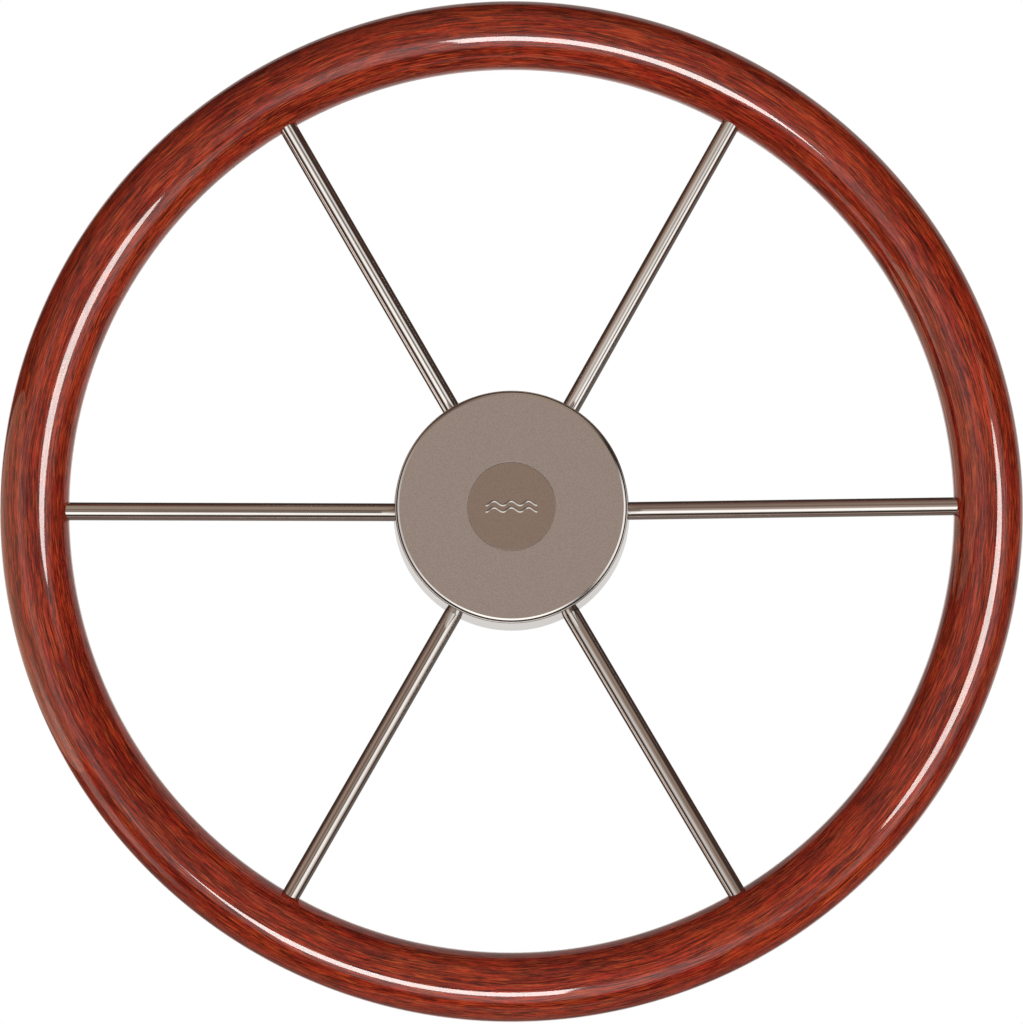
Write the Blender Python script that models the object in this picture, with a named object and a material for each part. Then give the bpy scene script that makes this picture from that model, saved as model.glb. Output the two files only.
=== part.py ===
"""A ship's steering wheel: mahogany rim, six steel spokes and a drum hub with a pull-off cap.

The wheel stands upright. It turns about the Y axis, its front faces -Y and +Z is up. The origin is on
that axis, at the rear face of the hub's boss, where the helm's shaft enters.
"""

import bmesh
import bpy
from math import cos, pi, radians, sin
from mathutils import Matrix, Vector

# Gap between pieces that touch, and clearance all round a piece that sits in another.
GAP = 0.0003

# Rim: a ring of nearly round section, made of two mahogany rings glued over a steel hoop. The section's
# front and rear crowns stand a little outside its middle.
OUTSIDE_DIAMETER = 0.450
RIM_SECTION_RADIUS = 0.0151
RIM_CROWN_SHIFT = 0.0012
RIM_RING_RADIUS = OUTSIDE_DIAMETER / 2 - RIM_SECTION_RADIUS
RIM_Y = -0.0333
RIM_STEPS = 60
RIM_ARC_STEPS = 12

# Hoop: flat bar rolled to a ring, wide along Y and thin along the radius.
HOOP_WIDTH = 0.012
HOOP_THICKNESS = 0.005
HOOP_INNER_RADIUS = 0.2070
HOOP_STEPS = 60

# Spokes: straight rods, dished so that the rim stands in front of their roots.
SPOKE_COUNT = 6
SPOKE_RADIUS = 0.004
SPOKE_SIDES = 24
SPOKE_ROOT_R = 0.0515
SPOKE_ROOT_Y = -0.0162
DISH_SLOPE = 0.130
SPOKE_TIP_R = HOOP_INNER_RADIUS - 2 * GAP - SPOKE_RADIUS * DISH_SLOPE
SOCKET_END_R = 0.0260

# Hub core: a turned disc with a boss at each side, bored for a 3/4 inch shaft with a taper of 1 in 12.
BORE_RADIUS = 0.009525
TAPER_PER_LENGTH = 1 / 24
BOSS_RADIUS = 0.019
CORE_FLANGE_RADIUS = 0.0512
CORE_RADIUS = 0.0486
CORE_FLANGE_REAR_Y = -0.0055
CORE_FLANGE_FRONT_Y = -0.0080
CORE_FRONT_Y = -0.0245
NUT_SEAT_RADIUS = 0.0170
NUT_SEAT_Y = -0.0262
KEYWAY_WIDTH = 0.00476
KEYWAY_DEPTH = 0.0024
CORE_STEPS = 48

# Set screws: M5 by 5, one for each spoke, sunk in the front of the core.
SET_SCREW_RADIUS = 0.0023
SET_SCREW_LENGTH = 0.005
SET_SCREW_PLACE_R = 0.040
SET_SCREW_SOCKET_RADIUS = 0.00145
SET_SCREW_SOCKET_DEPTH = 0.0025
SET_SCREW_SIDES = 18

# Drum: a shell, a little wider at the rear, that covers the core and the nut.
DRUM_FRONT_RADIUS = 0.0510
DRUM_REAR_RADIUS = 0.0524
DRUM_INNER_RADIUS = CORE_RADIUS + GAP
DRUM_FRONT_Y = -0.0480
DRUM_REAR_Y = CORE_FLANGE_FRONT_Y - GAP
DRUM_EDGE = 0.0005
DRUM_STEPS = 48

# Cap: a disc with a shallow polished bevel, and a skirt with a ring groove that plugs into the drum.
CAP_RADIUS = 0.0504
CAP_FACE_Y = -0.0510
CAP_BEVEL_WIDTH = 0.0012
CAP_BEVEL_DEPTH = 0.00025
CAP_EDGE = 0.0005
CAP_FLANGE_REAR_Y = DRUM_FRONT_Y - GAP
CAP_INSIDE_Y = -0.0480
SKIRT_RADIUS = 0.0484
SKIRT_INNER_RADIUS = 0.0446
SKIRT_END_Y = -0.0385
CAP_RING_TUBE = 0.0011
CAP_RING_RADIUS = 0.0475
CAP_RING_Y = -0.0425
CAP_RING_SIDES = 8
CAP_STEPS = 48

# Badge: a thin disc flush in the cap's face, with two raised waves on it.
BADGE_RADIUS = 0.0193
BADGE_THICKNESS = 0.001
WAVE_PERIODS = 3
WAVE_LENGTH = 0.0225
WAVE_HEIGHT = 0.0009
WAVE_STROKE = 0.0011
WAVE_RELIEF = 0.0005
WAVE_SPACING = 0.0028
WAVE_STEPS = 30

# Shaft nut, 1/2 inch, and its washer.
NUT_ACROSS_FLATS = 0.019
NUT_THICKNESS = 0.012
NUT_HOLE_RADIUS = 0.0058
NUT_CHAMFER = 0.0012
WASHER_RADIUS = 0.014
WASHER_HOLE_RADIUS = 0.0066
WASHER_THICKNESS = 0.002
NUT_STEPS = 36

AXIS = Vector((0, 1, 0))
SPOKE_ANGLES = [2 * pi * number / SPOKE_COUNT for number in range(SPOKE_COUNT)]


def clear_scene():
    for obj in list(bpy.data.objects):
        bpy.data.objects.remove(obj, do_unlink=True)


def material(name, colour, metallic, roughness):
    """A Principled material of one colour."""
    made = bpy.data.materials.new(name)
    made.use_nodes = True
    shader = made.node_tree.nodes["Principled BSDF"]
    shader.inputs["Base Color"].default_value = (*colour, 1)
    shader.inputs["Metallic"].default_value = metallic
    shader.inputs["Roughness"].default_value = roughness
    return made


def place(name, bm, finish, parent):
    """Makes an object of the finished mesh, shaded smooth between its sharp edges."""
    bmesh.ops.recalc_face_normals(bm, faces=bm.faces)
    mesh = bpy.data.meshes.new(name)
    bm.to_mesh(mesh)
    bm.free()
    mesh.shade_smooth()
    mesh.set_sharp_from_angle(angle=radians(35))
    obj = bpy.data.objects.new(name, mesh)
    bpy.context.scene.collection.objects.link(obj)
    obj.parent = parent
    if finish:
        mesh.materials.append(finish)
    return obj


def empty(name, parent=None):
    """An empty on the wheel's axis, which carries the pieces of one moving group."""
    obj = bpy.data.objects.new(name, None)
    bpy.context.scene.collection.objects.link(obj)
    obj.parent = parent
    return obj


def turned(profile, steps):
    """The mesh that a closed outline of (radius, y) points sweeps about the Y axis."""
    bm = bmesh.new()
    points = [bm.verts.new((radius, y, 0)) for radius, y in profile]
    edges = [bm.edges.new((points[i - 1], points[i])) for i in range(len(points))]
    bmesh.ops.spin(
        bm, geom=points + edges, cent=(0, 0, 0), axis=AXIS, angle=2 * pi, steps=steps, use_merge=True
    )
    bmesh.ops.remove_doubles(bm, verts=bm.verts, dist=1e-6)
    on_axis = [edge for edge in bm.edges if all(Vector((v.co.x, v.co.z)).length < 1e-6 for v in edge.verts)]
    bmesh.ops.delete(bm, geom=on_axis, context="EDGES")
    return bm


def arc(centre, radius, start, end, steps):
    """Points on a circle in the (radius, y) plane, with angles in degrees from the +radius side."""
    turns = [radians(start + (end - start) * step / steps) for step in range(steps + 1)]
    return [(centre[0] + radius * cos(turn), centre[1] + radius * sin(turn)) for turn in turns]


def add_prism(bm, sides, radius, start, end, first_angle=0.0):
    """Adds a prism of the given corner radius between two points."""
    run = end - start
    turn = run.to_track_quat("Z", "Y").to_matrix().to_4x4()
    matrix = Matrix.Translation((start + end) / 2) @ turn @ Matrix.Rotation(first_angle, 4, "Z")
    bmesh.ops.create_cone(
        bm,
        cap_ends=True,
        segments=sides,
        radius1=radius,
        radius2=radius,
        depth=run.length,
        matrix=matrix,
    )


def round_place(radius, y, angle):
    """The point at this radius, depth and angle about the wheel's axis, counted from +X towards +Z."""
    return Vector((radius * cos(angle), y, radius * sin(angle)))


def spoke_y(radius):
    """Where a spoke's centre line lies along Y at this radius."""
    return SPOKE_ROOT_Y - DISH_SLOPE * (radius - SPOKE_ROOT_R)


def cutter(name, bm):
    """A helper that shapes other pieces and isn't one itself."""
    obj = place(name, bm, None, None)
    obj.hide_render = True
    obj.display_type = "WIRE"
    return obj


def cut(obj, tool, operation="DIFFERENCE"):
    modifier = obj.modifiers.new(tool.name, "BOOLEAN")
    modifier.operation = operation
    modifier.object = tool


def spoke_bores():
    """Six round cutters, one around each spoke from its blind socket in the core to the rim's hoop."""
    bm = bmesh.new()
    outer = HOOP_INNER_RADIUS + HOOP_THICKNESS / 3
    for angle in SPOKE_ANGLES:
        inside = round_place(SOCKET_END_R, spoke_y(SOCKET_END_R), angle)
        outside = round_place(outer, spoke_y(outer), angle)
        add_prism(bm, SPOKE_SIDES, SPOKE_RADIUS + GAP, inside, outside)
    return cutter("spoke_bores", bm)


def rim_arc(side, split):
    """Half of the rim's section, from its outer edge over one crown to its inner edge."""
    points = []
    for step in range(RIM_ARC_STEPS + 1):
        turn = pi * step / RIM_ARC_STEPS
        radius = RIM_RING_RADIUS + RIM_SECTION_RADIUS * cos(turn) + RIM_CROWN_SHIFT * sin(turn) ** 2
        points.append((radius, split + side * RIM_SECTION_RADIUS * sin(turn)))
    return points


def rim_half(name, side, finish, parent, bores):
    """One mahogany ring. side is -1 for the front one and 1 for the rear one."""
    split = RIM_Y + side * GAP / 2
    groove_floor = RIM_Y + side * (HOOP_WIDTH / 2 + GAP)
    groove_inner = HOOP_INNER_RADIUS - GAP
    groove_outer = HOOP_INNER_RADIUS + HOOP_THICKNESS + GAP
    outline = rim_arc(side, split) + [
        (groove_inner, split),
        (groove_inner, groove_floor),
        (groove_outer, groove_floor),
        (groove_outer, split),
    ]
    half = place(name, turned(outline, RIM_STEPS), finish, parent)
    cut(half, bores)


def rim_hoop(finish, parent):
    outer = HOOP_INNER_RADIUS + HOOP_THICKNESS
    front = RIM_Y - HOOP_WIDTH / 2
    rear = RIM_Y + HOOP_WIDTH / 2
    outline = [(HOOP_INNER_RADIUS, front), (outer, front), (outer, rear), (HOOP_INNER_RADIUS, rear)]
    place("rim_hoop", turned(outline, HOOP_STEPS), finish, parent)


def spokes(finish, parent):
    """Six rods that share one mesh, from the core's sockets to the hoop."""
    start = Vector((SOCKET_END_R + GAP, spoke_y(SOCKET_END_R + GAP), 0))
    end = Vector((SPOKE_TIP_R, spoke_y(SPOKE_TIP_R), 0))
    bm = bmesh.new()
    add_prism(bm, SPOKE_SIDES, SPOKE_RADIUS, start, end)
    first = place("spoke_1", bm, finish, parent)
    for number, angle in enumerate(SPOKE_ANGLES[1:], 2):
        spoke = first.copy()
        spoke.name = f"spoke_{number}"
        spoke.rotation_euler = (0, -angle, 0)
        bpy.context.scene.collection.objects.link(spoke)


def hub_core(finish, parent, bores):
    """The boss, disc and nut seat in one turning, with its keyway, spoke sockets and set-screw holes."""
    edge = 0.001
    outline = [
        (BORE_RADIUS, 0),
        (BORE_RADIUS + TAPER_PER_LENGTH * NUT_SEAT_Y, NUT_SEAT_Y),
        (NUT_SEAT_RADIUS, NUT_SEAT_Y),
        (NUT_SEAT_RADIUS, CORE_FRONT_Y),
        (CORE_RADIUS, CORE_FRONT_Y),
        (CORE_RADIUS, CORE_FLANGE_FRONT_Y),
        (CORE_FLANGE_RADIUS, CORE_FLANGE_FRONT_Y),
        (CORE_FLANGE_RADIUS, CORE_FLANGE_REAR_Y - edge),
        (CORE_FLANGE_RADIUS - edge, CORE_FLANGE_REAR_Y),
        (BOSS_RADIUS, CORE_FLANGE_REAR_Y),
        (BOSS_RADIUS, -edge),
        (BOSS_RADIUS - edge, 0),
    ]
    core = place("hub_core", turned(outline, CORE_STEPS), finish, parent)
    cut(core, bores)
    cut(core, keyway())
    cut(core, set_screw_holes())


def keyway():
    """A bar along the top of the bore, longer than the core at both ends."""
    margin = 0.002
    low = BORE_RADIUS / 2
    high = BORE_RADIUS + KEYWAY_DEPTH
    length = margin * 2 - NUT_SEAT_Y
    bm = bmesh.new()
    size = Matrix.Diagonal((KEYWAY_WIDTH, length, high - low, 1))
    bmesh.ops.create_cube(bm, matrix=Matrix.Translation((0, NUT_SEAT_Y / 2, (low + high) / 2)) @ size)
    return cutter("keyway", bm)


def set_screw_rear_y():
    """Where a set screw ends, a gap in front of the spoke that it holds."""
    return spoke_y(SET_SCREW_PLACE_R) - SPOKE_RADIUS * 1.01 - GAP


def set_screw_holes():
    bm = bmesh.new()
    for angle in SPOKE_ANGLES:
        rear = round_place(SET_SCREW_PLACE_R, spoke_y(SET_SCREW_PLACE_R), angle)
        front = round_place(SET_SCREW_PLACE_R, CORE_FRONT_Y - 0.002, angle)
        add_prism(bm, SET_SCREW_SIDES, SET_SCREW_RADIUS + GAP, rear, front)
    return cutter("set_screw_holes", bm)


def set_screws(finish, parent):
    """Six screws that share one mesh, each with a hexagon socket in its front end."""
    rear = Vector((SET_SCREW_PLACE_R, set_screw_rear_y(), 0))
    front = rear - AXIS * SET_SCREW_LENGTH
    socket_floor = front + AXIS * SET_SCREW_SOCKET_DEPTH
    bm = bmesh.new()
    add_prism(bm, SET_SCREW_SIDES, SET_SCREW_RADIUS, rear, front)
    first = place("set_screw_1", bm, finish, parent)
    tools = bmesh.new()
    for angle in SPOKE_ANGLES:
        turn = Matrix.Rotation(-angle, 3, "Y")
        add_prism(tools, 6, SET_SCREW_SOCKET_RADIUS, turn @ socket_floor, turn @ (front - AXIS * 0.001))
    cut(first, cutter("set_screw_sockets", tools))
    for number, angle in enumerate(SPOKE_ANGLES[1:], 2):
        screw = first.copy()
        screw.name = f"set_screw_{number}"
        screw.rotation_euler = (0, -angle, 0)
        bpy.context.scene.collection.objects.link(screw)


def hub_drum(finish, parent, bores):
    outline = [
        (DRUM_INNER_RADIUS, DRUM_REAR_Y),
        (DRUM_INNER_RADIUS, DRUM_FRONT_Y),
        (DRUM_FRONT_RADIUS - DRUM_EDGE, DRUM_FRONT_Y),
        (DRUM_FRONT_RADIUS, DRUM_FRONT_Y + DRUM_EDGE),
        (DRUM_REAR_RADIUS, DRUM_REAR_Y - DRUM_EDGE),
        (DRUM_REAR_RADIUS - DRUM_EDGE, DRUM_REAR_Y),
    ]
    drum = place("hub_drum", turned(outline, DRUM_STEPS), finish, parent)
    cut(drum, bores)


def hub_cap(finish, parent):
    """The disc with the badge's recess in front, and the skirt with the ring's groove behind."""
    recess_y = CAP_FACE_Y + BADGE_THICKNESS + GAP
    groove_half = CAP_RING_TUBE + GAP
    groove_radius = CAP_RING_RADIUS - CAP_RING_TUBE - GAP
    outline = [
        (0, CAP_INSIDE_Y),
        (0, recess_y),
        (BADGE_RADIUS + GAP, recess_y),
        (BADGE_RADIUS + GAP, CAP_FACE_Y),
        (CAP_RADIUS - CAP_BEVEL_WIDTH, CAP_FACE_Y),
        (CAP_RADIUS - CAP_EDGE, CAP_FACE_Y + CAP_BEVEL_DEPTH),
        (CAP_RADIUS, CAP_FACE_Y + CAP_BEVEL_DEPTH + CAP_EDGE),
        (CAP_RADIUS, CAP_FLANGE_REAR_Y),
        (SKIRT_RADIUS, CAP_FLANGE_REAR_Y),
        (SKIRT_RADIUS, CAP_RING_Y - groove_half),
        (groove_radius, CAP_RING_Y - groove_half),
        (groove_radius, CAP_RING_Y + groove_half),
        (SKIRT_RADIUS, CAP_RING_Y + groove_half),
        (SKIRT_RADIUS, SKIRT_END_Y),
        (SKIRT_INNER_RADIUS, SKIRT_END_Y),
        (SKIRT_INNER_RADIUS, CAP_INSIDE_Y),
    ]
    place("hub_cap", turned(outline, CAP_STEPS), finish, parent)


def cap_ring(finish, parent):
    """The rubber ring that grips the drum's inside."""
    outline = arc((CAP_RING_RADIUS, CAP_RING_Y), CAP_RING_TUBE, 0, 360, CAP_RING_SIDES)[:-1]
    place("cap_ring", turned(outline, CAP_STEPS), finish, parent)


def cap_badge(finish, parent):
    bm = bmesh.new()
    rear = Vector((0, CAP_FACE_Y + BADGE_THICKNESS, 0))
    add_prism(bm, CAP_STEPS, BADGE_RADIUS, rear, Vector((0, CAP_FACE_Y, 0)))
    place("cap_badge", bm, finish, parent)


def badge_wave(name, centre_z, finish, parent):
    """A flat strip that follows a cosine across the badge, raised from it."""
    bm = bmesh.new()
    rear_y = CAP_FACE_Y - GAP
    turns_per_metre = 2 * pi * WAVE_PERIODS / WAVE_LENGTH
    rows = []
    for step in range(WAVE_STEPS + 1):
        x = WAVE_LENGTH * (step / WAVE_STEPS - 0.5)
        z = centre_z + WAVE_HEIGHT * cos(turns_per_metre * x)
        slope = -WAVE_HEIGHT * turns_per_metre * sin(turns_per_metre * x)
        across = Vector((-slope, 0, 1)).normalized() * WAVE_STROKE / 2
        middle = Vector((x, rear_y, z))
        rows.append((bm.verts.new(middle - across), bm.verts.new(middle + across)))
    faces = [bm.faces.new((a, b, d, c)) for (a, b), (c, d) in zip(rows, rows[1:])]
    raised = bmesh.ops.extrude_face_region(bm, geom=faces, use_keep_orig=True)
    points = [part for part in raised["geom"] if isinstance(part, bmesh.types.BMVert)]
    bmesh.ops.translate(bm, verts=points, vec=-AXIS * WAVE_RELIEF)
    place(name, bm, finish, parent)


def shaft_washer(finish, parent):
    rear = NUT_SEAT_Y - GAP
    front = rear - WASHER_THICKNESS
    outline = [(WASHER_HOLE_RADIUS, rear), (WASHER_HOLE_RADIUS, front)]
    outline += [(WASHER_RADIUS, front), (WASHER_RADIUS, rear)]
    place("shaft_washer", turned(outline, NUT_STEPS), finish, parent)


def shaft_nut(finish, parent):
    """A hexagon whose corners are turned down at both faces, with a plain hole for the thread."""
    rear = NUT_SEAT_Y - GAP * 2 - WASHER_THICKNESS
    front = rear - NUT_THICKNESS
    corner_radius = NUT_ACROSS_FLATS / 2 / cos(pi / 6)
    bm = bmesh.new()
    add_prism(bm, 6, corner_radius, Vector((0, rear, 0)), Vector((0, front, 0)))
    nut = place("shaft_nut", bm, finish, parent)
    wide = corner_radius + NUT_CHAMFER
    margin = 0.001
    outline = [
        (NUT_HOLE_RADIUS, rear + margin),
        (NUT_HOLE_RADIUS, front - margin),
        (corner_radius - NUT_CHAMFER - margin, front - margin),
        (wide, front + 2 * NUT_CHAMFER),
        (wide, rear - 2 * NUT_CHAMFER),
        (corner_radius - NUT_CHAMFER - margin, rear + margin),
    ]
    cut(nut, cutter("nut_turning", turned(outline, NUT_STEPS)), "INTERSECT")


def main():
    clear_scene()
    mahogany = material("mahogany", (0.26, 0.045, 0.014), 0.0, 0.15)
    steel = material("polished_steel", (0.62, 0.60, 0.57), 1.0, 0.12)
    satin = material("satin_steel", (0.42, 0.37, 0.33), 1.0, 0.45)
    alloy = material("cast_alloy", (0.60, 0.60, 0.60), 1.0, 0.40)
    bronze_grey = material("badge_grey", (0.30, 0.25, 0.21), 1.0, 0.50)
    rubber = material("rubber", (0.02, 0.02, 0.02), 0.0, 0.60)
    wheel = empty("wheel")
    cap = empty("cap", wheel)
    washer = empty("washer", wheel)
    nut = empty("nut", washer)
    bores = spoke_bores()
    rim_half("rim_front", -1, mahogany, wheel, bores)
    rim_half("rim_rear", 1, mahogany, wheel, bores)
    rim_hoop(steel, wheel)
    spokes(steel, wheel)
    hub_core(alloy, wheel, bores)
    set_screws(steel, wheel)
    hub_drum(steel, wheel, bores)
    hub_cap(satin, cap)
    cap_ring(rubber, cap)
    cap_badge(bronze_grey, cap)
    badge_wave("badge_wave_upper", WAVE_SPACING / 2, steel, cap)
    badge_wave("badge_wave_lower", -WAVE_SPACING / 2, steel, cap)
    shaft_washer(steel, washer)
    shaft_nut(steel, nut)


main()
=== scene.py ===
"""The looks of a ship's steering wheel: varnished mahogany rim, polished spokes and drum, satin cap.

Each CAD node is replaced by a finer piece of the same shape in the same place. Everything is in metres,
in the part's own frame: the wheel turns about Y, its front faces -Y, and its origin is at the rear of
the hub's boss. A turned piece's outline is a list of (radius, y) corners.
"""

from math import atan2, cos, floor, hypot, pi, radians, sin, tan

import bmesh
import bpy
from mathutils import Matrix, Vector


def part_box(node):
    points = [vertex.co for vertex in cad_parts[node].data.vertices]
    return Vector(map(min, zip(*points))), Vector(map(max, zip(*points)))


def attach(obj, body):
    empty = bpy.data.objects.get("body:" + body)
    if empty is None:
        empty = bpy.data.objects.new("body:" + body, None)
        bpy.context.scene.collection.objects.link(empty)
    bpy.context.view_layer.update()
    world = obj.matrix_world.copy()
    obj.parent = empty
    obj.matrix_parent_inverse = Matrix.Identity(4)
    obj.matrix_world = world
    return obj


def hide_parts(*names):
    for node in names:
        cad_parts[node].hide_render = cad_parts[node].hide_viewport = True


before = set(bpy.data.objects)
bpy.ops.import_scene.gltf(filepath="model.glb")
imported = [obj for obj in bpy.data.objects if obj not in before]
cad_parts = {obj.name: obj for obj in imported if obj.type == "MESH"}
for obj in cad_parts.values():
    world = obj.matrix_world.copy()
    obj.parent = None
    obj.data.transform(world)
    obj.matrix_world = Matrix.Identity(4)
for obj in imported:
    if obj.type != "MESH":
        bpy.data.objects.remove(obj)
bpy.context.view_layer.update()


def lowest(name):
    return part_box(name)[0]


def highest(name):
    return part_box(name)[1]


# Sizes and places read from the frame.
RIM_OUTER = highest("rim_front").x
RIM_SECTION = (highest("rim_rear").y - lowest("rim_front").y) / 2
RIM_Y = (highest("rim_rear").y + lowest("rim_front").y) / 2
RIM_RING = RIM_OUTER - RIM_SECTION
HOOP_OUTER = highest("rim_hoop").x
HOOP_FRONT = lowest("rim_hoop").y
HOOP_REAR = highest("rim_hoop").y
ROD_START = lowest("spoke_1").x
ROD_END = highest("spoke_1").x
DRUM_FRONT = lowest("hub_drum").y
DRUM_REAR = highest("hub_drum").y
DRUM_REAR_RADIUS = highest("hub_drum").x
CORE_FRONT = lowest("hub_core").y
CORE_RADIUS = highest("hub_core").x
CAP_FRONT = lowest("hub_cap").y
CAP_REAR = highest("hub_cap").y
CAP_RADIUS = highest("hub_cap").x
SEAL_Y = (lowest("cap_ring").y + highest("cap_ring").y) / 2
SEAL_TUBE = (highest("cap_ring").y - lowest("cap_ring").y) / 2
SEAL_RADIUS = highest("cap_ring").x - SEAL_TUBE
BADGE_REAR = highest("cap_badge").y
BADGE_RADIUS = highest("cap_badge").x
WAVE_FRONT = lowest("badge_wave_upper").y
WAVE_LENGTH = highest("badge_wave_upper").x - lowest("badge_wave_upper").x
WASHER_FRONT = lowest("shaft_washer").y
WASHER_REAR = highest("shaft_washer").y
WASHER_RADIUS = highest("shaft_washer").x
NUT_FRONT = lowest("shaft_nut").y
NUT_REAR = highest("shaft_nut").y
SCREW_FRONT = lowest("set_screw_1").y
SCREW_REAR = highest("set_screw_1").y
SCREW_PLACE = (lowest("set_screw_1").x + highest("set_screw_1").x) / 2

# Sizes that the boxes don't give.
ROD_RADIUS = 0.004
ROD_ROOT_RADIUS = 0.0515
ROD_ROOT_Y = -0.0162
DISH_SLOPE = 0.130
CROWN_SHIFT = 0.0012
HOOP_INNER = 0.2070
DRUM_FRONT_RADIUS = 0.0510
DRUM_INNER = 0.0489
CORE_DISC_RADIUS = 0.0486
CORE_DISC_FRONT = -0.0245
CORE_FLANGE_REAR = -0.0055
CORE_FLANGE_FRONT = -0.0080
NUT_SEAT_RADIUS = 0.0170
BOSS_RADIUS = 0.019
BORE_RADIUS = 0.009525
TAPER_PER_LENGTH = 1 / 24
KEYWAY_WIDTH = 0.00476
KEYWAY_DEPTH = 0.0024
SOCKET_END = 0.0260
CAP_BEVEL = 0.0013
CAP_EDGE = 0.0009
CAP_FLANGE_REAR = -0.0483
CAP_INSIDE = -0.0480
SKIRT_RADIUS = 0.0484
SKIRT_INNER = 0.0446
SCREW_RADIUS = 0.0023
SCREW_SOCKET_RADIUS = 0.00145
SCREW_SOCKET_DEPTH = 0.0025
WASHER_HOLE = 0.0066
NUT_ACROSS_FLATS = 0.019
NUT_HOLE = 0.0058
NUT_CHAMFER = 0.0012
THREAD_PITCH = 0.00127
WAVE_PERIODS = 3
WAVE_HEIGHT = 0.0009
WAVE_STROKE = 0.0011
WAVE_SPACING = 0.0028
GAP = 0.0003
HAIRLINE = 0.00012
SMALL_FILLET = 0.0003

ANGLES = [pi / 3 * number for number in range(6)]
AXIS = Vector((0, 1, 0))

# The room that the metal and the varnish mirror: its colour, and its soft panels. A panel has its place in
# degrees towards +X and +Z from the way the wheel faces, the radii in degrees where it is full and where it
# has faded, and its light.
ROOM_COLOUR = (0.062, 0.042, 0.034)
PANELS = [
    (-25, 45, 28, 58, (0.24, 0.16, 0.13)),
    (12, 45, 12, 28, (0.44, 0.34, 0.27)),
    (-45, 23, 11, 26, (0.48, 0.36, 0.28)),
    (-27, -3, 4, 28, (0.85, 0.81, 0.78)),
    (0, -92, 9, 26, (0.62, 0.50, 0.43)),
    (0, -128, 26, 52, (0.24, 0.19, 0.165)),
    (-77, -45, 9, 21, (1.60, 1.38, 1.25)),
    (50, -14, 8, 27, (0.75, 0.68, 0.62)),
    (-2, 5, 8, 20, (0.494, 0.374, 0.313)),
    (-19, -19, 4, 18, (1.25, 1.22, 1.18)),
    (0, -28, 9, 24, (1.75, 1.70, 1.65)),
    (36, -4, 8, 22, (1.38, 1.34, 1.30)),
    (43, -30, 5, 17, (1.50, 1.46, 1.42)),
    (0, 180, 20, 32, (0.76, 0.74, 0.72)),
    (108, -72, 20, 46, (0.19, 0.17, 0.15)),
]


# ---------------------------------------------------------------- shader nodes


def put(tree, socket, value):
    if isinstance(value, bpy.types.NodeSocket):
        tree.links.new(value, socket)
    else:
        socket.default_value = value


def node(tree, kind, settings=None, **inputs):
    """Adds a shader node. An input is a value or another node's output, and _ stands for a space."""
    made = tree.nodes.new("ShaderNode" + kind)
    for name, value in (settings or {}).items():
        setattr(made, name, value)
    for name, value in inputs.items():
        put(tree, made.inputs[name.replace("_", " ")], value)
    return made


def maths(tree, operation, *values):
    made = tree.nodes.new("ShaderNodeMath")
    made.operation = operation
    for socket, value in zip(made.inputs, values):
        put(tree, socket, value)
    return made.outputs[0]


def vector_maths(tree, operation, *values):
    made = tree.nodes.new("ShaderNodeVectorMath")
    made.operation = operation
    for socket, value in zip(made.inputs, values):
        put(tree, socket, value)
    return made.outputs["Value" if operation in ("LENGTH", "DOT_PRODUCT") else "Vector"]


def mixed(tree, factor, one, other):
    """one where factor is 0, other where it is 1. Both are colours or outputs."""
    made = tree.nodes.new("ShaderNodeMix")
    made.data_type = "RGBA"
    put(tree, made.inputs["Factor"], factor)
    for socket, colour in ((made.inputs[6], one), (made.inputs[7], other)):
        put(tree, socket, (*colour, 1) if isinstance(colour, tuple) else colour)
    return made.outputs[2]


def stepped(tree, value, low, high):
    """0 up to low, 1 from high on, and a smooth change between them."""
    settings = {"interpolation_type": "SMOOTHSTEP"}
    return node(tree, "MapRange", settings, Value=value, From_Min=low, From_Max=high).outputs[0]


def noise(tree, vector, scale, detail, roughness=0.5):
    made = node(tree, "TexNoise", None, Vector=vector, Scale=scale, Detail=detail, Roughness=roughness)
    return made.outputs["Fac"]


def bumped(tree, height, distance, strength=1.0):
    return node(tree, "Bump", None, Height=height, Distance=distance, Strength=strength).outputs["Normal"]


def new_material(name):
    made = bpy.data.materials.new(name)
    made.use_nodes = True
    return made, made.node_tree, made.node_tree.nodes["Principled BSDF"]


def object_place(tree):
    return node(tree, "TexCoord").outputs["Object"]


def round_place(tree):
    """The radius, the depth along Y, and the unit vector round the axis, of a point on a turned piece."""
    parts = node(tree, "SeparateXYZ", None, Vector=object_place(tree)).outputs
    flat = node(tree, "CombineXYZ", None, X=parts["X"], Z=parts["Z"]).outputs[0]
    turn = node(tree, "SeparateXYZ", None, Vector=vector_maths(tree, "NORMALIZE", flat)).outputs
    return vector_maths(tree, "LENGTH", flat), parts["Y"], turn


# ---------------------------------------------------------------- materials


def grain(tree, place, along, across, seed, detail=2.0, roughness=0.5):
    """Seamless noise stretched round the rim: along counts features in a radian, across in a metre."""
    radius, depth, turn = place
    x = maths(tree, "MULTIPLY", turn["X"], along)
    z = maths(tree, "MULTIPLY", turn["Z"], along)
    y = maths(tree, "MULTIPLY", radius, across)
    w = maths(tree, "MULTIPLY_ADD", depth, across, seed)
    vector = node(tree, "CombineXYZ", None, X=x, Y=y, Z=z).outputs[0]
    made = node(tree, "TexNoise", {"noise_dimensions": "4D"}, Vector=vector, W=w, Scale=1.0)
    put(tree, made.inputs["Detail"], detail)
    put(tree, made.inputs["Roughness"], roughness)
    return made.outputs["Fac"]


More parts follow.
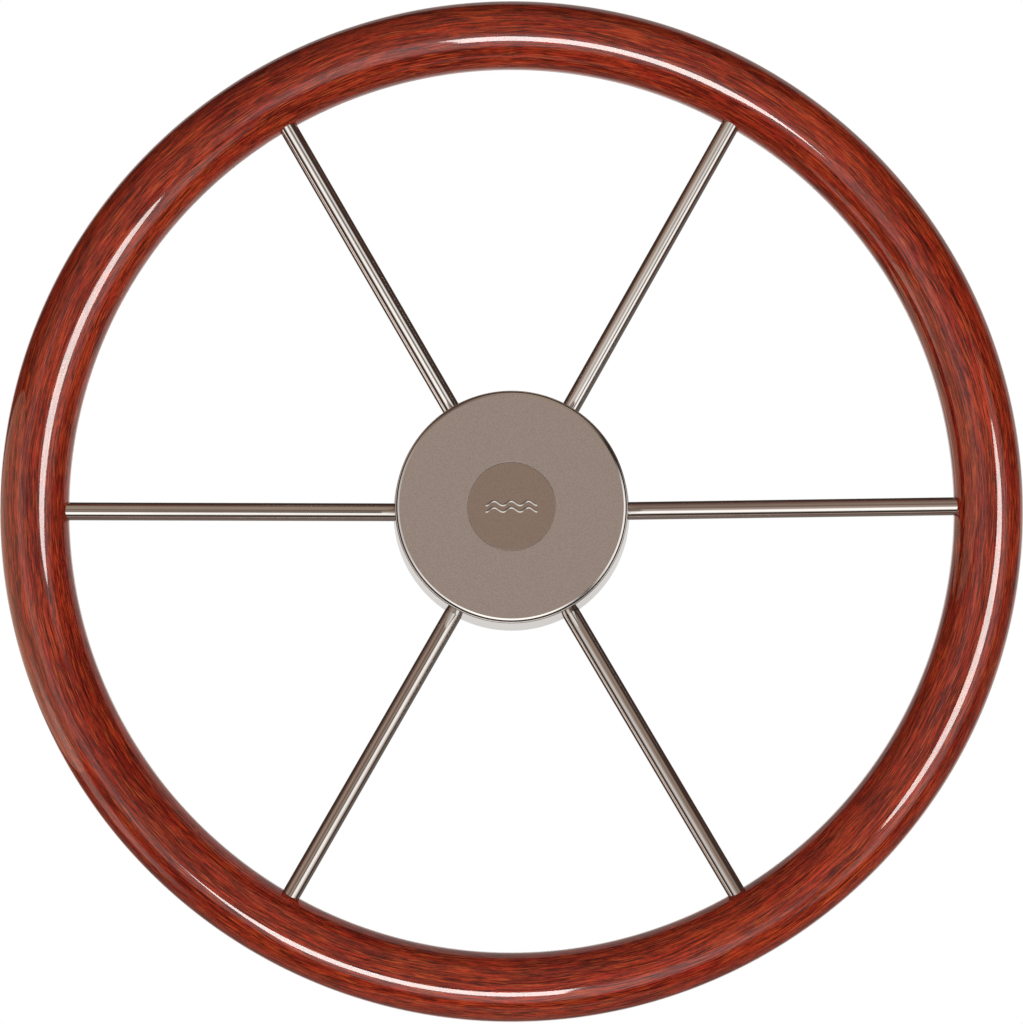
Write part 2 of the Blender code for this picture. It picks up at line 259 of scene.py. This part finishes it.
def mahogany(name, seed):
    """Red-brown wood with bands, fine dark pores and lighter flecks, all running round the rim, under
    a thick clear varnish."""
    made, tree, shader = new_material(name)
    radius, depth, turn = round_place(tree)
    sway = grain(tree, (radius, depth, turn), 4, 25, seed)
    place = (maths(tree, "MULTIPLY_ADD", sway, 0.006, radius), depth, turn)
    patches = stepped(tree, grain(tree, place, 6, 60, seed + 7, 2.0), 0.36, 0.64)
    bands = stepped(tree, grain(tree, place, 4, 300, seed + 13, 3.0, 0.65), 0.34, 0.64)
    fibres = stepped(tree, grain(tree, place, 15, 2050, seed + 31, 2.0, 0.6), 0.33, 0.67)
    pores = stepped(tree, grain(tree, place, 22, 2700, seed + 29, 1.0), 0.50, 0.68)
    flecks = stepped(tree, grain(tree, place, 20, 2400, seed + 43, 1.0), 0.51, 0.72)
    colour = mixed(tree, patches, (0.152, 0.0098, 0.0042), (0.195, 0.0172, 0.0054))
    specks = stepped(tree, grain(tree, place, 120, 1500, seed + 61, 0.0), 0.25, 0.75)
    brightness = maths(tree, "MULTIPLY_ADD", fibres, 1.15, maths(tree, "MULTIPLY_ADD", specks, 0.34, 0.24))
    brightness = maths(tree, "MULTIPLY", brightness, maths(tree, "MULTIPLY_ADD", bands, 0.42, 0.74))
    colour = node(tree, "VectorMath", {"operation": "SCALE"}, Vector=colour, Scale=brightness).outputs[0]
    colour = mixed(tree, maths(tree, "MULTIPLY", flecks, 0.65), colour, (0.37, 0.070, 0.015))
    colour = mixed(tree, maths(tree, "MULTIPLY", pores, 0.85), colour, (0.026, 0.0018, 0.0010))
    put(tree, shader.inputs["Base Color"], colour)
    shader.inputs["Roughness"].default_value = 0.5
    shader.inputs["Specular IOR Level"].default_value = 0.04
    shader.inputs["Coat Weight"].default_value = 1.0
    shader.inputs["Coat Roughness"].default_value = 0.035
    shader.inputs["Coat IOR"].default_value = 1.49
    put(tree, shader.inputs["Normal"], bumped(tree, pores, -0.00002, 0.5))
    swell = grain(tree, place, 9, 45, seed + 53, 1.0)
    put(tree, shader.inputs["Coat Normal"], bumped(tree, swell, 0.00004))
    return made


def metal(name, colour, roughness, marks, depth=0.000004, variation=0.03, tint=0.94, cells=60):
    """Bare metal. marks makes the fine lines of its finish, from 0 to 1, as shader nodes. The lines change
    the roughness by variation either way and stand out by depth. Cloudy places, with this many cells in a
    metre, are darkened by tint."""
    made, tree, shader = new_material(name)
    shader.inputs["Metallic"].default_value = 1.0
    lines = marks(tree)
    cloud = stepped(tree, noise(tree, object_place(tree), cells, 3.0), 0.3, 0.7)
    shade = tuple(tint * part for part in colour)
    put(tree, shader.inputs["Base Color"], mixed(tree, cloud, shade, colour))
    rough = maths(tree, "MULTIPLY_ADD", lines, variation * 2, roughness - variation)
    put(tree, shader.inputs["Roughness"], rough)
    if depth:
        put(tree, shader.inputs["Normal"], bumped(tree, lines, depth))
    return made


def drawn_marks(tree):
    """Polishing lines along a rod's own Z axis."""
    stretched = vector_maths(tree, "MULTIPLY", object_place(tree), (1, 1, 0.012))
    return noise(tree, stretched, 2600, 3.0, 0.6)


def turned_marks(tree):
    """Polishing lines round the axis."""
    radius, depth, turn = round_place(tree)
    x = maths(tree, "MULTIPLY", turn["X"], 0.0012)
    z = maths(tree, "MULTIPLY_ADD", turn["Z"], 0.0012, depth)
    vector = node(tree, "CombineXYZ", None, X=x, Y=radius, Z=z).outputs[0]
    return noise(tree, vector, 3200, 3.0, 0.6)


def cut_marks(tree):
    """Even tool marks of a lathe on a face, broken up a little."""
    radius, depth, _ = round_place(tree)
    ridge = maths(tree, "PINGPONG", maths(tree, "ADD", radius, depth), 0.00014)
    ridge = maths(tree, "MULTIPLY", ridge, 5000)
    return maths(tree, "MULTIPLY_ADD", noise(tree, object_place(tree), 900, 2.0), 0.5, ridge)


def blasted_marks(tree):
    """The even, very fine grain of a blasted face."""
    return noise(tree, object_place(tree), 5200, 2.0, 0.7)


def hammered_marks(tree):
    """The soft unevenness of plated or cast metal."""
    return noise(tree, object_place(tree), 700, 4.0, 0.6)


def rubber():
    made, tree, shader = new_material("rubber")
    speckle = noise(tree, object_place(tree), 2400, 3.0, 0.6)
    colour = mixed(tree, speckle, (0.010, 0.010, 0.011), (0.024, 0.024, 0.025))
    put(tree, shader.inputs["Base Color"], colour)
    shader.inputs["Roughness"].default_value = 0.62
    shader.inputs["Specular IOR Level"].default_value = 0.35
    put(tree, shader.inputs["Normal"], bumped(tree, speckle, 0.00002))
    return made


# ---------------------------------------------------------------- shapes


def shaded(mesh, sharp_angle=32):
    mesh.shade_smooth()
    mesh.set_sharp_from_angle(angle=radians(sharp_angle))


def added(name, data):
    """A new object in the scene."""
    made = bpy.data.objects.new(name, data)
    bpy.context.scene.collection.objects.link(made)
    return made


def piece_of(name, bm, material):
    bmesh.ops.recalc_face_normals(bm, faces=bm.faces)
    mesh = bpy.data.meshes.new(name)
    bm.to_mesh(mesh)
    bm.free()
    shaded(mesh)
    if material:
        mesh.materials.append(material)
    return added(name, mesh)


def cut(piece, tool, operation="DIFFERENCE", crossing=False):
    """Cuts the piece's mesh with the tool, which stays for the next cut. crossing is True for a tool whose
    own parts overlap."""
    modifier = piece.modifiers.new("cut", "BOOLEAN")
    modifier.operation = operation
    modifier.object = tool
    modifier.use_self = crossing
    bpy.context.view_layer.update()
    solid = piece.evaluated_get(bpy.context.evaluated_depsgraph_get())
    before = piece.data
    piece.data = bpy.data.meshes.new_from_object(solid)
    piece.data.name = piece.name
    piece.modifiers.clear()
    bpy.data.meshes.remove(before)
    shaded(piece.data)


def discard(*tools):
    for tool in tools:
        bpy.data.objects.remove(tool, do_unlink=True)


def fillet(before, corner, after, radius, steps):
    """Points of the arc that rounds a corner of an outline. One more point on each side of it keeps the
    faces beyond it looking flat."""
    back = (before - corner).normalized()
    on = (after - corner).normalized()
    half = back.angle(on) / 2
    centre = corner + (back + on).normalized() * radius / sin(half)
    reach = radius / tan(half)
    start = corner + back * reach - centre
    end = corner + on * reach - centre
    first = atan2(start.y, start.x)
    turn = (atan2(end.y, end.x) - first + pi) % (2 * pi) - pi
    turns = [first + turn * step / steps for step in range(steps + 1)]
    bend = [centre + radius * Vector((cos(angle), sin(angle))) for angle in turns]
    hold = reach + 0.2 * radius
    return [corner + back * hold, *bend, corner + on * hold]


def rounded(corners, steps=4):
    """An outline through (radius, y) corners. A third number rounds that corner."""
    points = [Vector(corner[:2]) for corner in corners]
    outline = []
    for number, corner in enumerate(corners):
        if len(corner) == 2:
            outline.append(points[number])
            continue
        following = points[(number + 1) % len(points)]
        outline += fillet(points[number - 1], points[number], following, corner[2], steps)
    return outline


def turned(name, outline, material, steps=256):
    """The piece that a closed outline sweeps about the Y axis."""
    bm = bmesh.new()
    points = [bm.verts.new((radius, y, 0)) for radius, y in outline]
    edges = [bm.edges.new((points[i - 1], points[i])) for i in range(len(points))]
    bmesh.ops.spin(
        bm, geom=points + edges, cent=(0, 0, 0), axis=AXIS, angle=2 * pi, steps=steps, use_merge=True
    )
    bmesh.ops.remove_doubles(bm, verts=bm.verts, dist=1e-7)
    on_axis = [edge for edge in bm.edges if all(Vector((v.co.x, v.co.z)).length < 1e-7 for v in edge.verts)]
    bmesh.ops.delete(bm, geom=on_axis, context="EDGES")
    return piece_of(name, bm, material)


def add_prism(bm, sides, radius, start, end, end_radius=None):
    run = end - start
    turn = run.to_track_quat("Z", "Y").to_matrix().to_4x4()
    bmesh.ops.create_cone(
        bm,
        cap_ends=True,
        segments=sides,
        radius1=radius,
        radius2=radius if end_radius is None else end_radius,
        depth=run.length,
        matrix=Matrix.Translation((start + end) / 2) @ turn,
    )


def at(radius, y, angle):
    return Vector((radius * cos(angle), y, radius * sin(angle)))


def rod_y(radius):
    """Where a spoke's centre line lies along Y at this radius."""
    return ROD_ROOT_Y - DISH_SLOPE * (radius - ROD_ROOT_RADIUS)


def rod_bores(name, start, end, clearance):
    """Six round cutters along the spokes, between two radii."""
    bm = bmesh.new()
    for angle in ANGLES:
        near = at(start, rod_y(start), angle)
        far = at(end, rod_y(end), angle)
        add_prism(bm, 64, ROD_RADIUS + clearance, near, far)
    return piece_of(name, bm, None)


def settle(piece, body, replaced):
    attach(piece, body)
    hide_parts(replaced)


# ---------------------------------------------------------------- rim and spokes


def rim_ring(name, side, material, bores):
    """One mahogany ring, hollowed for the hoop. side is -1 for the front ring and 1 for the rear one."""
    arc_steps = 56
    split = RIM_Y + side * HAIRLINE / 2
    seam = 0.00025
    points = []
    for step in range(arc_steps + 1):
        turn = pi * step / arc_steps
        radius = RIM_RING + RIM_SECTION * cos(turn) + CROWN_SHIFT * sin(turn) ** 2
        depth = split + side * RIM_SECTION * sin(turn)
        points.append((radius, depth))
    outer = (points[0][0] - seam, split)
    inner = (points[-1][0] + seam, split)
    points[0] = (points[0][0], split + side * seam)
    points[-1] = (points[-1][0], split + side * seam)
    groove_y = RIM_Y + side * ((HOOP_REAR - HOOP_FRONT) / 2 + GAP)
    groove = [(HOOP_INNER - GAP, split), (HOOP_INNER - GAP, groove_y)]
    groove += [(HOOP_OUTER + GAP, groove_y), (HOOP_OUTER + GAP, split)]
    ring = turned(name, [outer] + points + [inner] + groove, material, 384)
    cut(ring, bores)
    return ring


def rod(number, mesh):
    """One spoke. Its mesh runs along its own Z axis, from the socket in the core to the hoop."""
    angle = ANGLES[number - 1]
    start = at(ROD_START, rod_y(ROD_START), angle)
    end = at(ROD_END, rod_y(ROD_END), angle)
    piece = added(f"rod_{number}", mesh)
    piece.rotation_euler = (end - start).to_track_quat("Z", "Y").to_euler()
    piece.location = start
    settle(piece, "wheel", f"spoke_{number}")


def rod_mesh(material):
    """A round bar with a small chamfer at both ends."""
    slope = (1 + DISH_SLOPE**2) ** 0.5
    length = (ROD_END - ROD_START) * slope - ROD_RADIUS * DISH_SLOPE
    chamfer = 0.0004
    outline = [(0, 0), (ROD_RADIUS - chamfer, 0), (ROD_RADIUS, chamfer)]
    outline += [(ROD_RADIUS, length - chamfer), (ROD_RADIUS - chamfer, length), (0, length)]
    bar = turned("rod", outline, material, 64)
    mesh = bar.data
    mesh.transform(Matrix.Rotation(pi / 2, 4, "X"))
    discard(bar)
    return mesh


def rim_and_spokes(steel, hoop_steel):
    bores = rod_bores("rod_bores", SOCKET_END, HOOP_INNER + (HOOP_OUTER - HOOP_INNER) / 3, HAIRLINE)
    front = rim_ring("rim_ring_front", -1, mahogany("mahogany_front", 3.0), bores)
    rear = rim_ring("rim_ring_rear", 1, mahogany("mahogany_rear", 71.0), bores)
    settle(front, "wheel", "rim_front")
    settle(rear, "wheel", "rim_rear")
    corners = [
        (HOOP_INNER, HOOP_FRONT, SMALL_FILLET),
        (HOOP_OUTER, HOOP_FRONT, SMALL_FILLET),
        (HOOP_OUTER, HOOP_REAR, SMALL_FILLET),
        (HOOP_INNER, HOOP_REAR, SMALL_FILLET),
    ]
    settle(turned("hoop_bar", rounded(corners), hoop_steel), "wheel", "rim_hoop")
    mesh = rod_mesh(steel)
    for number in range(1, len(ANGLES) + 1):
        rod(number, mesh)
    discard(bores)


# ---------------------------------------------------------------- hub


def core(alloy):
    """The boss, disc and nut seat, with the taper bore, keyway, spoke sockets and set-screw holes."""
    edge = 0.0008
    seat = CORE_FRONT
    corners = [
        (BORE_RADIUS, 0, SMALL_FILLET),
        (BORE_RADIUS + TAPER_PER_LENGTH * seat, seat, SMALL_FILLET),
        (NUT_SEAT_RADIUS, seat, SMALL_FILLET),
        (NUT_SEAT_RADIUS, CORE_DISC_FRONT, edge),
        (CORE_DISC_RADIUS, CORE_DISC_FRONT, SMALL_FILLET),
        (CORE_DISC_RADIUS, CORE_FLANGE_FRONT),
        (CORE_RADIUS, CORE_FLANGE_FRONT, SMALL_FILLET),
        (CORE_RADIUS, CORE_FLANGE_REAR, edge),
        (BOSS_RADIUS, CORE_FLANGE_REAR, edge * 1.5),
        (BOSS_RADIUS, 0, edge),
    ]
    piece = turned("core_casting", rounded(corners), alloy)
    margin = 0.002
    low = BORE_RADIUS / 2
    high = BORE_RADIUS + KEYWAY_DEPTH
    bm = bmesh.new()
    size = Matrix.Diagonal((KEYWAY_WIDTH, margin * 2 - seat, high - low, 1))
    bmesh.ops.create_cube(bm, matrix=Matrix.Translation((0, seat / 2, (low + high) / 2)) @ size)
    keyway = piece_of("keyway", bm, None)
    sockets = rod_bores("rod_sockets", SOCKET_END, CORE_DISC_RADIUS + margin, HAIRLINE)
    bm = bmesh.new()
    for angle in ANGLES:
        rear = at(SCREW_PLACE, rod_y(SCREW_PLACE), angle)
        front = at(SCREW_PLACE, CORE_DISC_FRONT - margin, angle)
        mouth = at(SCREW_PLACE, CORE_DISC_FRONT + 2 * SMALL_FILLET, angle)
        add_prism(bm, 32, SCREW_RADIUS + GAP, rear, front)
        add_prism(bm, 32, SCREW_RADIUS + GAP, mouth, front, SCREW_RADIUS + GAP + margin + 2 * SMALL_FILLET)
    holes = piece_of("screw_holes", bm, None)
    cut(piece, sockets)
    cut(piece, keyway)
    cut(piece, holes, crossing=True)
    discard(sockets, keyway, holes)
    settle(piece, "wheel", "hub_core")


def set_screws(steel):
    """Six screws that share a mesh, each with a hexagon socket in its front end."""
    chamfer = 0.0004
    length = SCREW_REAR - SCREW_FRONT
    corners = [(0, 0), (SCREW_RADIUS - 2 * chamfer, 0), (SCREW_RADIUS, -2 * chamfer)]
    corners += [(SCREW_RADIUS, chamfer - length), (SCREW_RADIUS - chamfer, -length), (0, -length)]
    first = turned("screw", corners, steel, 48)
    floor_y = SCREW_SOCKET_DEPTH - length
    bm = bmesh.new()
    add_prism(bm, 6, SCREW_SOCKET_RADIUS, Vector((0, floor_y, 0)), Vector((0, -length - chamfer, 0)))
    socket = piece_of("screw_socket", bm, None)
    cut(first, socket)
    mesh = first.data
    discard(first, socket)
    for number, angle in enumerate(ANGLES, 1):
        screw = added(f"socket_screw_{number}", mesh)
        screw.location = at(SCREW_PLACE, SCREW_REAR, angle)
        uneven_turn = 1.31 * angle  # No two hexagons point the same way.
        screw.rotation_euler = (0, -uneven_turn, 0)
        settle(screw, "wheel", f"set_screw_{number}")


def drum(steel):
    fine = 0.0005
    corners = [
        (DRUM_INNER, DRUM_REAR, fine / 2),
        (DRUM_INNER, DRUM_FRONT, fine / 2),
        (DRUM_FRONT_RADIUS, DRUM_FRONT, fine),
        (DRUM_REAR_RADIUS, DRUM_REAR, fine),
    ]
    piece = turned("drum_shell", rounded(corners, 6), steel, 384)
    bores = rod_bores("drum_bores", SOCKET_END, DRUM_REAR_RADIUS * 1.2, HAIRLINE)
    cut(piece, bores)
    discard(bores)
    settle(piece, "wheel", "hub_drum")


# ---------------------------------------------------------------- cap


def cap(satin, steel, dark):
    """The disc with its polished bevel and badge recess, and the skirt with the ring's groove. The rounded
    outer edge and side are near-black steel, painted shade for the dark line round the cap.
    """
    recess = BADGE_REAR + GAP / 3
    groove_half = SEAL_TUBE + HAIRLINE
    groove_floor = SEAL_RADIUS - SEAL_TUBE - HAIRLINE
    corners = [
        (0, CAP_INSIDE),
        (0, recess),
        (BADGE_RADIUS + HAIRLINE, recess),
        (BADGE_RADIUS + HAIRLINE, CAP_FRONT, HAIRLINE),
        (CAP_RADIUS - CAP_BEVEL, CAP_FRONT, SMALL_FILLET),
        (CAP_RADIUS, CAP_FRONT + CAP_BEVEL * tan(radians(17)), CAP_EDGE),
        (CAP_RADIUS, CAP_FLANGE_REAR, SMALL_FILLET),
        (SKIRT_RADIUS, CAP_FLANGE_REAR, SMALL_FILLET),
        (SKIRT_RADIUS, SEAL_Y - groove_half, HAIRLINE),
        (groove_floor, SEAL_Y - groove_half),
        (groove_floor, SEAL_Y + groove_half),
        (SKIRT_RADIUS, SEAL_Y + groove_half, HAIRLINE),
        (SKIRT_RADIUS, CAP_REAR, SMALL_FILLET),
        (SKIRT_INNER, CAP_REAR, SMALL_FILLET),
        (SKIRT_INNER, CAP_INSIDE, SMALL_FILLET),
    ]
    piece = turned("cap_disc", rounded(corners, 8), satin, 384)
    piece.data.materials.append(steel)
    piece.data.materials.append(dark)
    # The faces of the outer edge and side that turn away from the front get the near-black steel, which is
    # painted shade for the dark line between cap and drum. The faces towards the front stay polished steel.
    for face in piece.data.polygons:
        radius = Vector((face.center.x, face.center.z)).length
        if radius > CAP_RADIUS - CAP_BEVEL and face.center.y < CAP_FLANGE_REAR + GAP:
            face.material_index = 2 if face.normal.y > -cos(radians(22)) else 1
    settle(piece, "cap", "hub_cap")


def seal(material):
    steps = 32
    turns = [2 * pi * step / steps for step in range(steps)]
    outline = [(SEAL_RADIUS + SEAL_TUBE * cos(turn), SEAL_Y + SEAL_TUBE * sin(turn)) for turn in turns]
    settle(turned("seal_ring", outline, material), "cap", "cap_ring")


def badge(material):
    corners = [(0, BADGE_REAR), (0, CAP_FRONT), (BADGE_RADIUS, CAP_FRONT, HAIRLINE)]
    corners += [(BADGE_RADIUS, BADGE_REAR, HAIRLINE)]
    settle(turned("badge_disc", rounded(corners), material), "cap", "cap_badge")


def wave(name, centre_z, material, replaced):
    """A raised cosine line with a low ridge along it, on the badge."""
    steps = 120
    shoulders = [(-1.0, 0.0), (-1.0, 0.76), (-0.92, 0.82), (-0.04, 1.0)]
    shoulders += [(-across, up) for across, up in reversed(shoulders)]
    turns_per_metre = 2 * pi * WAVE_PERIODS / WAVE_LENGTH
    height = CAP_FRONT - WAVE_FRONT
    bm = bmesh.new()
    rows = []
    for step in range(steps + 1):
        x = WAVE_LENGTH * (step / steps - 0.5)
        z = centre_z + WAVE_HEIGHT * cos(turns_per_metre * x)
        slope = -WAVE_HEIGHT * turns_per_metre * sin(turns_per_metre * x)
        sideways = Vector((-slope, 0, 1)).normalized() * WAVE_STROKE / 2
        middle = Vector((x, CAP_FRONT, z))
        corners = [middle + sideways * across - AXIS * height * up for across, up in shoulders]
        rows.append([bm.verts.new(corner) for corner in corners])
    for near, far in zip(rows, rows[1:]):
        for i in range(len(shoulders)):
            bm.faces.new((near[i - 1], near[i], far[i], far[i - 1]))
    bm.faces.new(rows[0])
    bm.faces.new(rows[-1])
    line = piece_of(name, bm, material)
    shaded(line.data, 12)
    settle(line, "cap", replaced)


# ---------------------------------------------------------------- nut and washer


def washer(steel):
    fine = 0.0002
    corners = [
        (WASHER_HOLE, WASHER_REAR, fine),
        (WASHER_HOLE, WASHER_FRONT, fine),
        (WASHER_RADIUS, WASHER_FRONT, 2 * fine),
        (WASHER_RADIUS, WASHER_REAR, fine),
    ]
    settle(turned("flat_washer", rounded(corners), steel, 128), "washer", "shaft_washer")


def thread_cutter(start, end):
    """A bar whose surface is a screw thread."""
    sides = 72
    rows_per_pitch = 12
    depth = THREAD_PITCH * 0.55
    rows = round((end - start) / THREAD_PITCH * rows_per_pitch)
    bm = bmesh.new()
    rings = []
    for row in range(rows + 1):
        y = start + (end - start) * row / rows
        ring = []
        for side in range(sides):
            phase = y / THREAD_PITCH + side / sides
            ridge = abs(2 * (phase - floor(phase)) - 1)
            ring.append(bm.verts.new(at(NUT_HOLE - depth + depth * ridge, y, 2 * pi * side / sides)))
        rings.append(ring)
    for near, far in zip(rings, rings[1:]):
        for i in range(sides):
            bm.faces.new((near[i - 1], near[i], far[i], far[i - 1]))
    bm.faces.new(rings[0])
    bm.faces.new(rings[-1])
    return piece_of("thread", bm, None)


def nut(steel):
    """A hexagon whose corners are turned down at both faces, with a threaded hole."""
    corner = NUT_ACROSS_FLATS / 2 / cos(pi / 6)
    margin = 0.001
    bm = bmesh.new()
    add_prism(bm, 6, corner, Vector((0, NUT_REAR, 0)), Vector((0, NUT_FRONT, 0)))
    piece = piece_of("hex_nut", bm, steel)
    wide = corner + NUT_CHAMFER
    narrow = corner - NUT_CHAMFER - margin
    outline = [(0, NUT_REAR + margin), (0, NUT_FRONT - margin), (narrow, NUT_FRONT - margin)]
    outline += [(wide, NUT_FRONT + 2 * NUT_CHAMFER), (wide, NUT_REAR - 2 * NUT_CHAMFER)]
    outline += [(narrow, NUT_REAR + margin)]
    turning = turned("nut_turning", outline, None, 96)
    cut(piece, turning, "INTERSECT")
    thread = thread_cutter(NUT_FRONT - margin, NUT_REAR + margin)
    cut(piece, thread)
    discard(turning, thread)
    settle(piece, "nut", "shaft_nut")


# ---------------------------------------------------------------- room


def lit_group(name, *pieces):
    """A collection of the only pieces that a lamp lights."""
    group = bpy.data.collections.new(name)
    for piece in pieces:
        group.objects.link(bpy.data.objects[piece])
    return group


def pale_floor():
    """A wide pale floor, well below the wheel, with a lamp overhead that lights nothing else."""
    bm = bmesh.new()
    bmesh.ops.create_circle(bm, cap_ends=True, segments=128, radius=12.0)
    made, tree, shader = new_material("pale_floor")
    faint = noise(tree, object_place(tree), 5, 2.0)
    put(tree, shader.inputs["Base Color"], mixed(tree, faint, (0.80, 0.79, 0.78), (0.84, 0.83, 0.82)))
    shader.inputs["Roughness"].default_value = 0.8
    ground = piece_of("floor", bm, made)
    ground.location = (0, 0, -0.80)
    ground.visible_glossy = False
    lamp = bpy.data.lights.new("overhead", "SUN")
    lamp.energy = 2.3
    lamp.angle = radians(40)
    added("overhead", lamp).light_linking.receiver_collection = lit_group("lit_from_above", "floor")


def studio_lights():
    """Two lamps in front that the varnish mirrors as long highlights, one that only fills, and dim ones at
    the left and behind. They light the rim alone, since the metal gets its light from the room."""
    rim = lit_group("lit_by_lamps", "rim_ring_front", "rim_ring_rear")
    area_light("side_light", 30, 350, 2.3, (0.82, 1.10), 15.5, rim, (1, 0.96, 0.92))
    area_light("front_light", 21.5, 251.5, 2.4, (0.80, 0.56), 19, rim, (1, 0.97, 0.94), "RECTANGLE")
    area_light("soft_fill", 22, 300, 2.4, (1.0, 1.0), 5.5, rim, mirrored=False)
    area_light("left_wall", 90, 186, 1.0, (2.8, 0.84), 1.0, rim, (1, 0.70, 0.50))
    area_light("rear_wall", 162, 60, 0.5, (1.3, 1.3), 0.55, rim, (1, 0.92, 0.88))


def area_light(
    name,
    off_axis,
    round_axis,
    distance,
    size,
    radiance,
    lit,
    colour=(1, 1, 1),
    shape="ELLIPSE",
    mirrored=True,
):
    """An area light facing the wheel. off_axis is its angle from the wheel's axis, and round_axis says
    towards which side, counted from +X towards +Z, in degrees. The varnish shows it if it is mirrored."""
    lamp = bpy.data.lights.new(name, "AREA")
    lamp.shape = shape
    lamp.color = colour
    lamp.size, lamp.size_y = size
    area = size[0] * size[1] * (pi / 4 if shape == "ELLIPSE" else 1)
    lamp.energy = radiance * area * pi
    light = added(name, lamp)
    tilt = radians(off_axis)
    out = at(sin(tilt), -cos(tilt), radians(round_axis))
    light.location = Vector((0, RIM_Y, 0)) + out * distance
    light.rotation_euler = out.to_track_quat("Z", "Y").to_euler()
    light.visible_camera = False
    light.visible_glossy = mirrored
    light.light_linking.receiver_collection = lit


def facing(right, up):
    """The unit vector this many degrees towards +X and +Z from the way the wheel faces."""
    tilt = radians(hypot(right, up))
    return at(sin(tilt), -cos(tilt), atan2(up, right))


def room():
    """What the metal and the varnish mirror: a dim brown room with soft panels. Past the wheel the camera
    sees plain white."""
    world = bpy.data.worlds.new("room")
    bpy.context.scene.world = world
    world.use_nodes = True
    tree = world.node_tree
    direction = node(tree, "TexCoord").outputs["Generated"]
    colour = node(tree, "RGB").outputs[0]
    colour.default_value = (*ROOM_COLOUR, 1)
    for right, up, inner, outer, panel in PANELS:
        toward = vector_maths(tree, "DOT_PRODUCT", direction, facing(right, up))
        share = stepped(tree, toward, cos(radians(outer)), cos(radians(inner)))
        colour = mixed(tree, share, colour, panel)
    seen = node(tree, "LightPath").outputs["Is Camera Ray"]
    colour = mixed(tree, seen, colour, (1.0, 1.0, 1.0))
    put(tree, tree.nodes["Background"].inputs["Color"], colour)


def camera():
    """On the wheel's axis but a little below it, looking up at the rim's middle."""
    distance = 2.8
    below = radians(3.8)
    lens = bpy.data.cameras.new("camera")
    lens.lens = 223.8
    lens.sensor_width = 36
    lens.clip_end = 60
    eye = added("camera", lens)
    target = Vector((0, RIM_Y, -0.0013))
    out = Vector((0, -cos(below), -sin(below)))
    eye.location = target + out * distance
    roll = Matrix.Rotation(radians(-0.33), 3, "Z")
    eye.rotation_euler = (out.to_track_quat("Z", "Y").to_matrix() @ roll).to_euler()
    bpy.context.scene.camera = eye


def main():
    rod_steel = metal("polished_steel_rods", (0.66, 0.64, 0.62), 0.10, drawn_marks, 0, 0.015)
    turned_steel = metal("polished_steel_turned", (0.66, 0.64, 0.62), 0.10, turned_marks, 0)
    hoop_steel = metal("hoop_steel", (0.50, 0.49, 0.48), 0.35, turned_marks, 0.00001)
    satin = metal("satin_steel", (0.665, 0.672, 0.672), 0.20, blasted_marks, 0.00001, 0.03, 0.86, 1700)
    grey = metal("badge_grey", (0.525, 0.485, 0.435), 0.20, blasted_marks, 0.00001, 0.03, 0.86, 1700)
    # Near-black steel for the cap's outer edge and side: painted shade, not the steel's own colour.
    painted_shade_steel = metal("cap_side_painted_shade", (0.10, 0.09, 0.085), 0.25, turned_marks)
    bright = metal("raised_mark", (0.47, 0.45, 0.43), 0.14, hammered_marks, 0.000003)
    alloy = metal("cast_alloy", (0.78, 0.78, 0.77), 0.32, cut_marks, 0.00002)
    fastener = metal("fastener_steel", (0.58, 0.57, 0.55), 0.24, turned_marks, 0.00001)
    rim_and_spokes(rod_steel, hoop_steel)
    core(alloy)
    set_screws(fastener)
    drum(turned_steel)
    cap(satin, turned_steel, painted_shade_steel)
    seal(rubber())
    badge(grey)
    wave("wave_upper", WAVE_SPACING / 2, bright, "badge_wave_upper")
    wave("wave_lower", -WAVE_SPACING / 2, bright, "badge_wave_lower")
    washer(fastener)
    nut(fastener)
    pale_floor()
    studio_lights()
    room()
    camera()
    bpy.context.scene.view_settings.view_transform = "Standard"


main()
